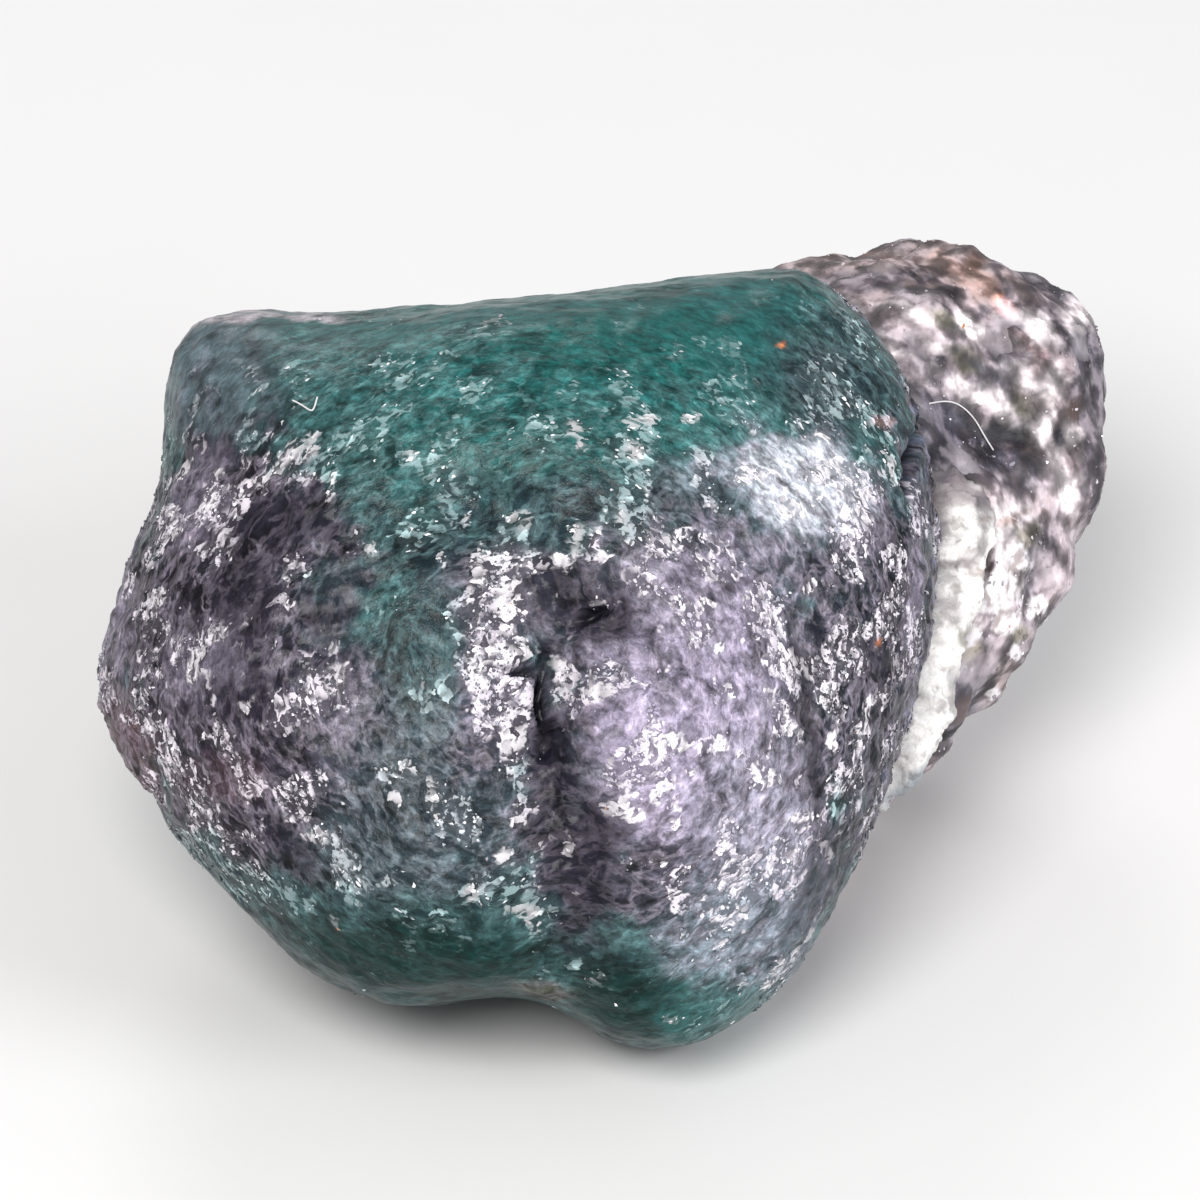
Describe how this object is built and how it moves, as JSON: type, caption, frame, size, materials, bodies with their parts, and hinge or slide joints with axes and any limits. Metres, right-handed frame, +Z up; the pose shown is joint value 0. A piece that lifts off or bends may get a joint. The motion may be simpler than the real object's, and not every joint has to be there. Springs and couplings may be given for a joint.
{
  "type": "emerald in matrix",
  "caption": "Waterworn green emerald with silvery mica, seated in a broken lump of mica schist along a pale feldspar seam, resting on its underside.",
  "frame": {"origin": "on the ground, under the middle of the stone's bounding box", "axes": "+Z up; +X across the stone, from the emerald's worn left side to the matrix, its longest extent; +Y from the side that is seen in front to the back"},
  "size_m": [0.0204, 0.0188, 0.013],
  "materials": {
    "emerald": "waterworn, softly glossy, translucent green under a skin of silvery and lilac mica flakes",
    "mica_schist": "broken, glittering, pinkish grey with rusty and white grains",
    "feldspar": "matt to waxy, cream white"
  },
  "bodies": {
    "root": {"emerald": "emerald", "matrix": "mica_schist", "feldspar_seam": "feldspar"}
  },
  "joints": []
}
